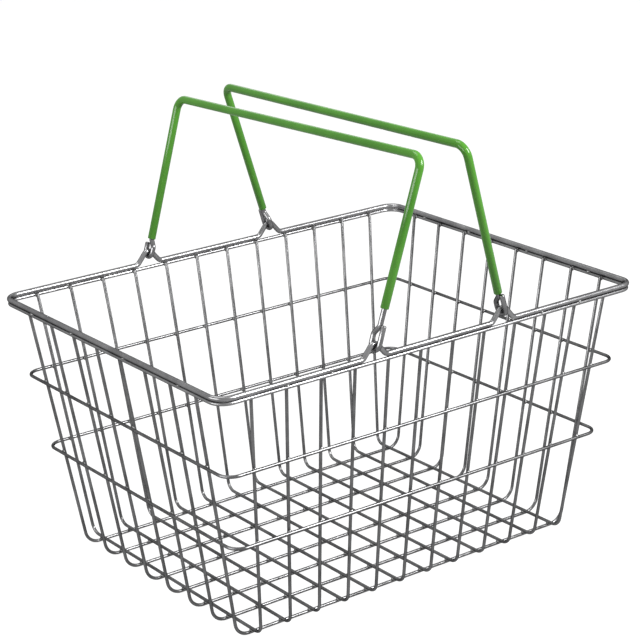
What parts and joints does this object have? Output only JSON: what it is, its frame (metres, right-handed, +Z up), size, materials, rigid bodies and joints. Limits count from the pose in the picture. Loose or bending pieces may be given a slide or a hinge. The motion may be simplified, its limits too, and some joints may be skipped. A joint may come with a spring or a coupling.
{
  "type": "wire shopping basket",
  "caption": "Open wire basket with a flared body, doubled rim, belt wires and two sleeved bail handles that swing on hooks round the rim.",
  "frame": {"origin": "on the surface the basket stands on, under the middle of its floor", "axes": "+X along the basket towards handle B, +Y across it towards the side away from the picture's viewer, +Z up"},
  "size_m": [0.4286, 0.3435, 0.3839],
  "materials": {
    "bright_zinc": "bright plated wire",
    "rim_zinc": "bright plated wire",
    "bail_zinc": "bright plated wire",
    "green_sleeve": "satin, soft vinyl tube"
  },
  "bodies": {
    "basket": {"rim": "rim_zinc", "lower_rim": "bright_zinc", "upper_belt": "bright_zinc", "lower_belt": "bright_zinc", "cross_wire_01": "bright_zinc", "cross_wire_02": "bright_zinc", "cross_wire_03": "bright_zinc", "cross_wire_04": "bright_zinc", "cross_wire_05": "bright_zinc", "cross_wire_06": "bright_zinc", "cross_wire_07": "bright_zinc", "cross_wire_08": "bright_zinc", "cross_wire_09": "bright_zinc", "cross_wire_10": "bright_zinc", "cross_wire_11": "bright_zinc", "cross_wire_12": "bright_zinc", "long_wire_01": "bright_zinc", "long_wire_02": "bright_zinc", "long_wire_03": "bright_zinc", "long_wire_04": "bright_zinc", "long_wire_05": "bright_zinc", "long_wire_06": "bright_zinc", "long_wire_07": "bright_zinc", "long_wire_08": "bright_zinc"},
    "handle_a": {"bail_a": "bail_zinc", "sleeve_a": "green_sleeve"},
    "handle_b": {"bail_b": "bail_zinc", "sleeve_b": "green_sleeve"}
  },
  "joints": [
    {"name": "handle_a_swing", "type": "hinge", "parent": "basket", "child": "handle_a", "pos_m": [-0.06589, 0, 0.2327], "axis": [0, -1, 0], "range_deg": [-5.8, 107.9]},
    {"name": "handle_b_swing", "type": "hinge", "parent": "basket", "child": "handle_b", "pos_m": [0.06589, 0, 0.2327], "axis": [0, 1, 0], "range_deg": [-8.2, 105.5]}
  ]
}
